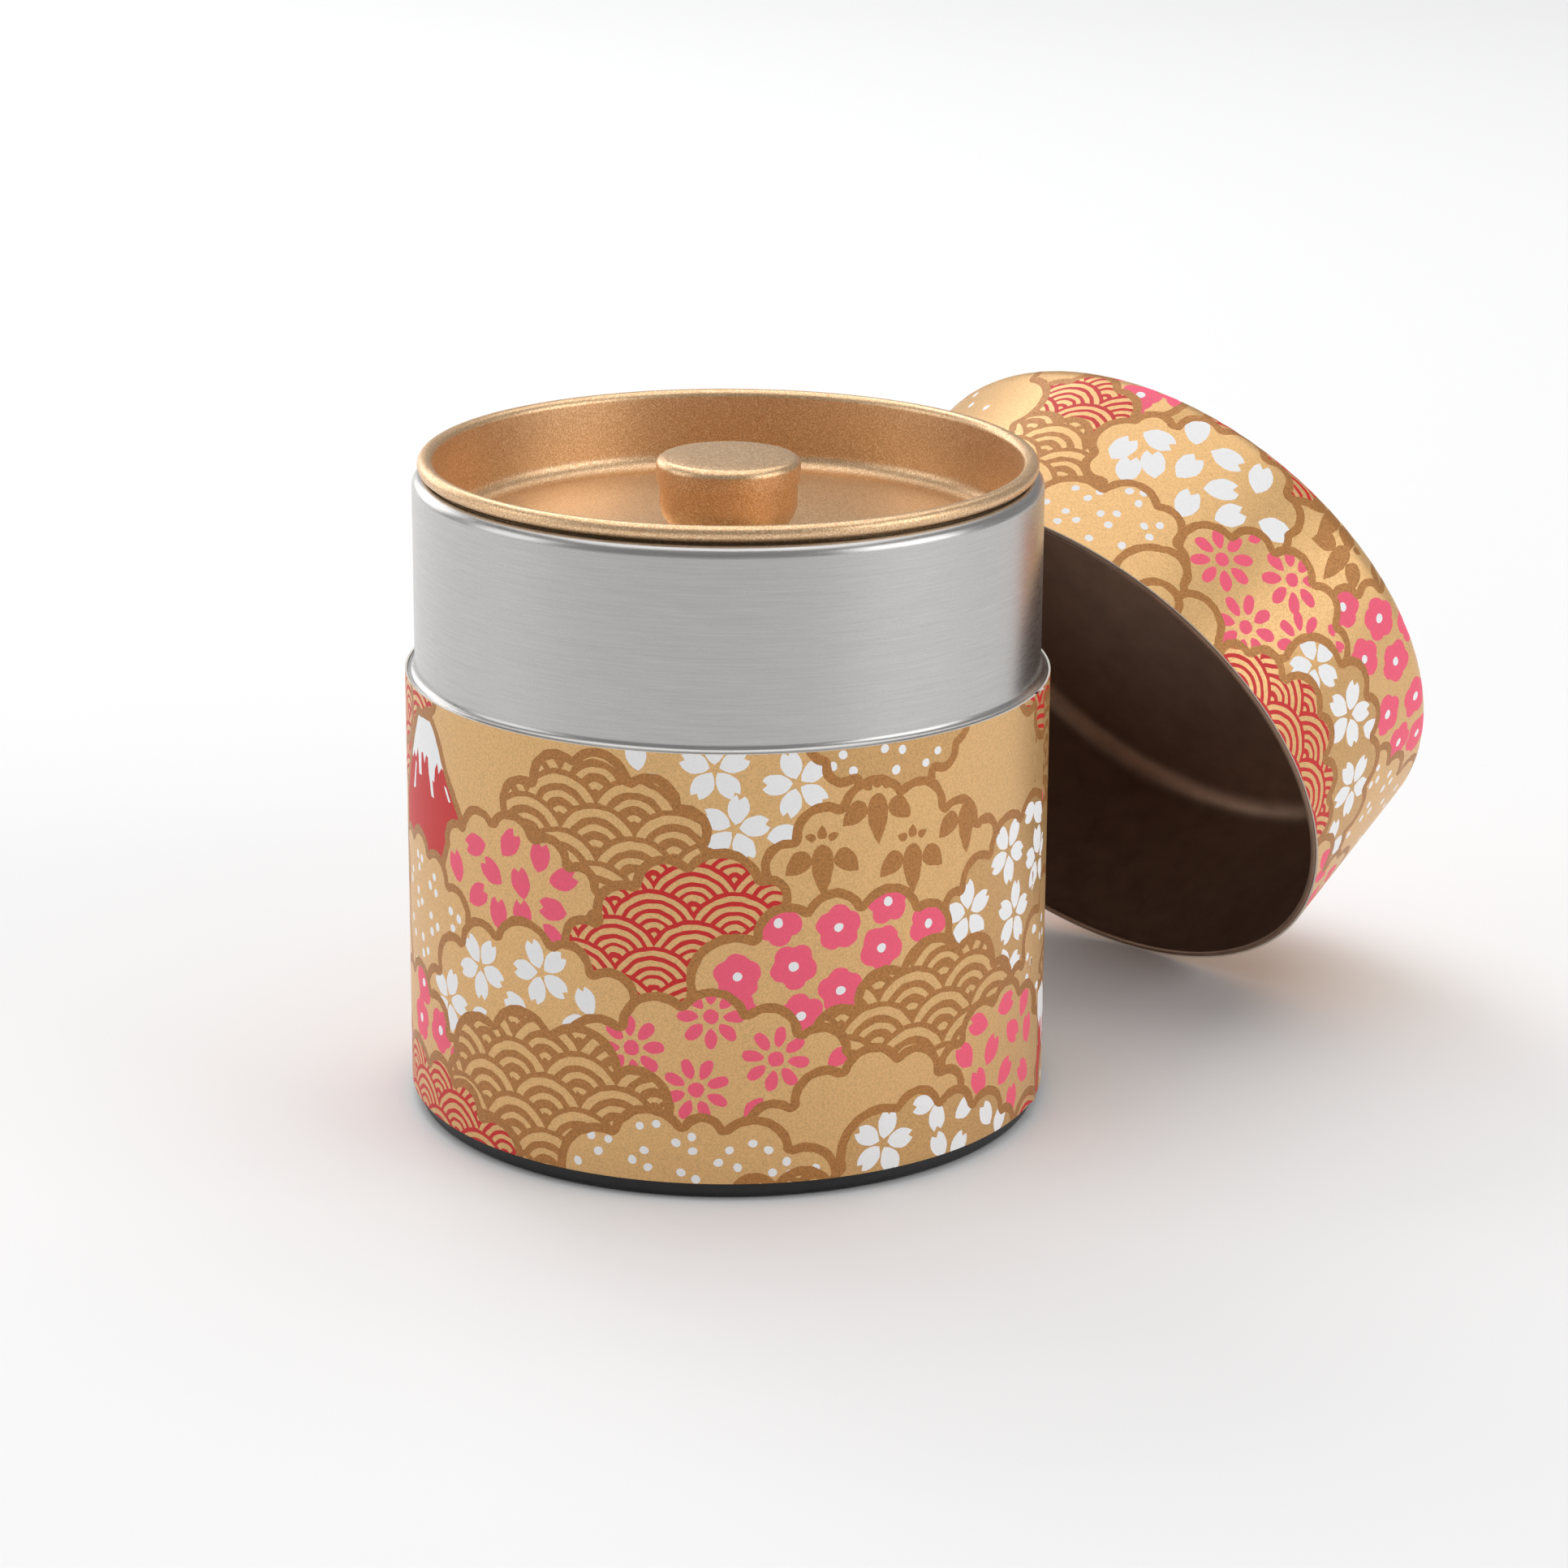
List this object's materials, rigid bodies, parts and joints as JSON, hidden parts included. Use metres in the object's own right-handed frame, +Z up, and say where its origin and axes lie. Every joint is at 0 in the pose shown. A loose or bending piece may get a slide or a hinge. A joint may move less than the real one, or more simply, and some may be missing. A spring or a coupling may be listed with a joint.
{
  "type": "tea caddy",
  "caption": "Round papered tin tea caddy with brushed collar, dished inner lid with knob, and a slip-over outer lid leaning on the can.",
  "frame": {"origin": "centre of the can's underside, on the surface it stands on", "axes": "+Z up along the can's axis; +X to the right and +Y to the back, so the outer lid leans at the right and behind"},
  "size_m": [0.1322, 0.127, 0.0832],
  "materials": {
    "brushed_tin": "satin",
    "plain_tin": "satin",
    "lid_tin": "satin",
    "black_lacquer": "satin",
    "gold_lacquer": "satin",
    "washi_paper": "satin"
  },
  "bodies": {
    "can": {"body_tube": "plain_tin", "body_wrap": "washi_paper", "base_cap": "black_lacquer", "collar_sleeve": "brushed_tin"},
    "inner_lid": {"inner_lid_dish": "gold_lacquer", "knob_cup": "gold_lacquer", "knob_cap": "gold_lacquer", "knob_rivet": "plain_tin"},
    "outer_lid": {"outer_lid_shell": "lid_tin", "outer_lid_wrap": "washi_paper", "outer_lid_disc": "washi_paper"}
  },
  "joints": [
    {"name": "inner_lid_lift", "type": "slide", "parent": "can", "child": "inner_lid", "axis": [0, 0, 1], "range_m": [0, 0.06]},
    {"name": "outer_lid_lift", "type": "slide", "parent": "can", "child": "outer_lid", "axis": [0, 0, 1], "range_m": [0, 0.12]}
  ]
}
